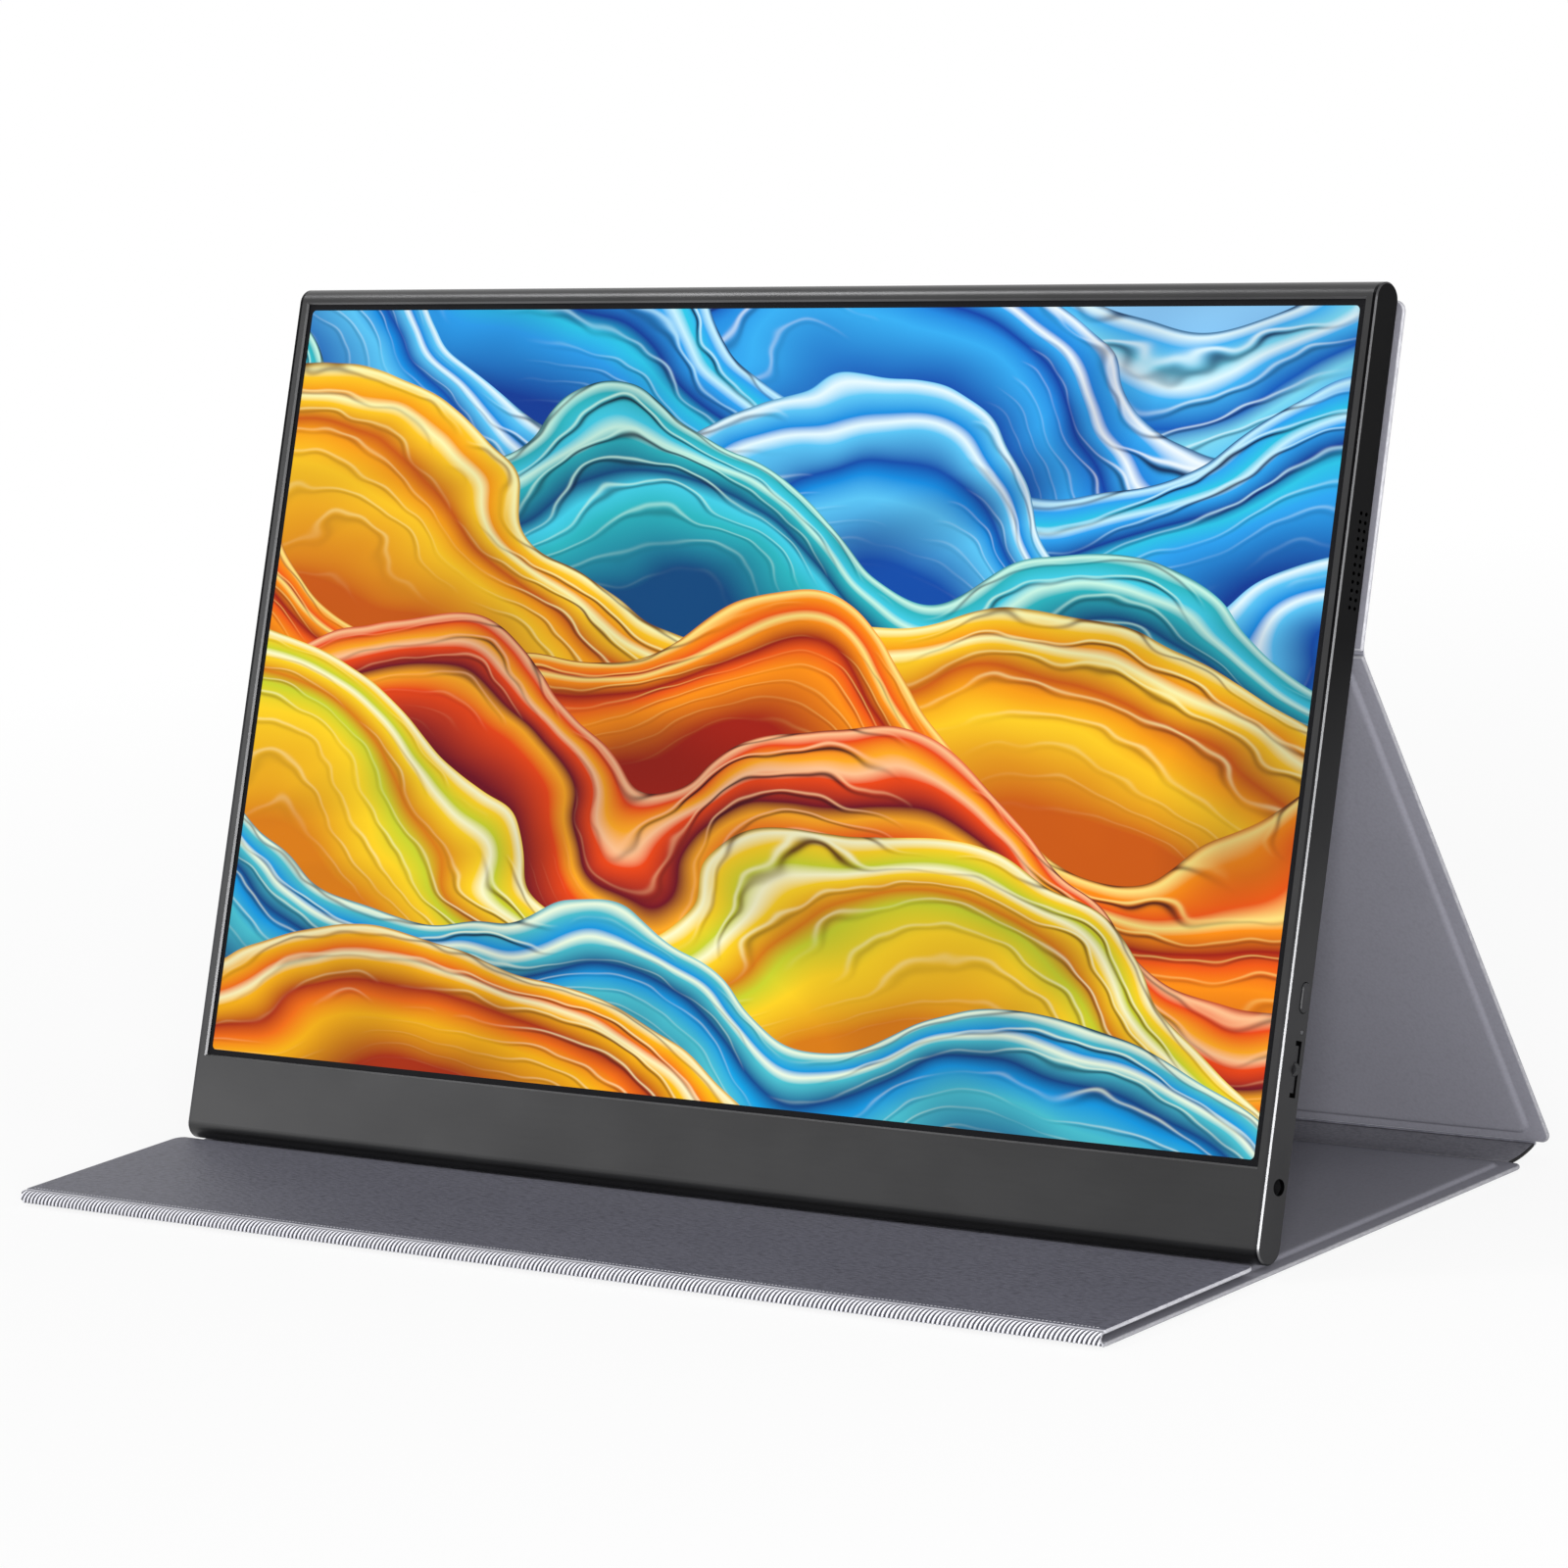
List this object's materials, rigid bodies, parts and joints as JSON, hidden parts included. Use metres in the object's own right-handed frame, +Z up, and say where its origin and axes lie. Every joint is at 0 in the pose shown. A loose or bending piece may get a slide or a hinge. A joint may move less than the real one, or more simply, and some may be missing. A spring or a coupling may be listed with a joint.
{
  "type": "portable monitor with cover",
  "caption": "Slim flat-screen monitor standing on a folding leather-look cover with a rear leg, a folded front flap, side keys, a jog lever and side sockets.",
  "frame": {"origin": "middle of the base panel's underside, on the desk", "axes": "+Z up from the desk, X along the screen's width, the screen looks towards -Y"},
  "size_m": [0.356, 0.1664, 0.211],
  "materials": {
    "cover_outer": "fine grain, matt",
    "cover_inner": "smooth, matt",
    "cover_band": "ribbed, satin",
    "cover_spine": "fine grain, matt",
    "stiffener": "pressed fibre board",
    "magnet": "plated",
    "steel_sheet": "rolled",
    "housing": "dark satin anodised",
    "housing_side": "dark satin anodised, polished bevel",
    "screen": "matt glass",
    "clear_sheet": "clear",
    "white_sheet": "white film",
    "light_strip": "flex circuit",
    "circuit": "solder mask",
    "screw": "plated",
    "ribbon": "flex film",
    "socket_shell": "plated",
    "black_plastic": "moulded",
    "key_cap": "satin",
    "lens": "translucent"
  },
  "bodies": {
    "base": {"base_skin": "cover_outer", "base_board": "stiffener", "base_lining": "cover_inner"},
    "band": {"front_band": "cover_band"},
    "flap": {"flap_skin": "cover_outer", "flap_board": "stiffener", "flap_lining": "cover_inner", "flap_magnets": "magnet"},
    "spine": {"spine_strip": "cover_spine"},
    "leg": {"leg_skin": "cover_outer", "leg_board": "stiffener", "leg_lining": "cover_inner"},
    "display": {"front_frame": "housing", "right_side_plate": "housing_side", "left_side_plate": "housing_side", "rear_cover": "housing", "holding_plate": "steel_sheet", "lcd_cell": "screen", "diffuser_sheets": "clear_sheet", "light_guide": "clear_sheet", "reflector_sheet": "white_sheet", "panel_tray": "steel_sheet", "led_strip": "light_strip", "main_board": "circuit", "board_screws": "screw", "display_ribbon": "ribbon", "usb_socket_lower": "socket_shell", "usb_socket_upper": "socket_shell", "hdmi_socket": "socket_shell", "headphone_jack": "black_plastic", "power_switch": "black_plastic", "menu_switch": "black_plastic", "key_board": "circuit", "status_lens": "lens", "speaker_right": "black_plastic", "speaker_left": "black_plastic", "upper_skin": "cover_outer", "upper_board": "stiffener", "upper_lining": "cover_inner", "upper_magnets": "magnet"},
    "power_key": {"power_button": "key_cap"},
    "menu_slider": {"menu_carrier": "black_plastic"},
    "menu_jog": {"menu_lever": "key_cap"}
  },
  "joints": [
    {"name": "flap_fold", "type": "hinge", "parent": "band", "child": "flap", "pos_m": [0, -0.07648, 0.0038], "axis": [1, 0, 0], "range_deg": [0, 90]},
    {"name": "front_band_roll", "type": "hinge", "parent": "base", "child": "band", "pos_m": [0, -0.07648, 0], "axis": [1, 0, 0], "range_deg": [0, 90]},
    {"name": "rear_crease_fold", "type": "hinge", "parent": "base", "child": "spine", "pos_m": [0, 0.07648, 0.0005], "axis": [-1, 0, 0], "range_deg": [0, 10]},
    {"name": "leg_crease_fold", "type": "hinge", "parent": "spine", "child": "leg", "pos_m": [0, 0.0878, 0.0025], "axis": [-1, 0, 0], "range_deg": [0, 27.2]},
    {"name": "stand_fold", "type": "hinge", "parent": "leg", "child": "display", "pos_m": [0, 0.03578, 0.13031], "axis": [1, 0, 0], "range_deg": [0, 42.5]},
    {"name": "power_press", "type": "slide", "parent": "display", "child": "power_key", "axis": [-1, 0, 0], "range_m": [0, 0.0004], "stiffness_N_per_m": 400},
    {"name": "menu_press", "type": "slide", "parent": "display", "child": "menu_slider", "axis": [-1, 0, 0], "range_m": [0, 0.0004], "stiffness_N_per_m": 400},
    {"name": "menu_tilt", "type": "hinge", "parent": "menu_slider", "child": "menu_jog", "pos_m": [0.1716, -0.00187, 0.04318], "axis": [0, 0.9367, -0.3502], "range_deg": [-10, 10], "stiffness_Nm_per_rad": 0.002}
  ],
  "couplings": [
    {"joint": "front_band_roll", "follows": "flap_fold", "ratio": 1},
    {"joint": "leg_crease_fold", "follows": "stand_fold", "ratio": 0.64}
  ]
}
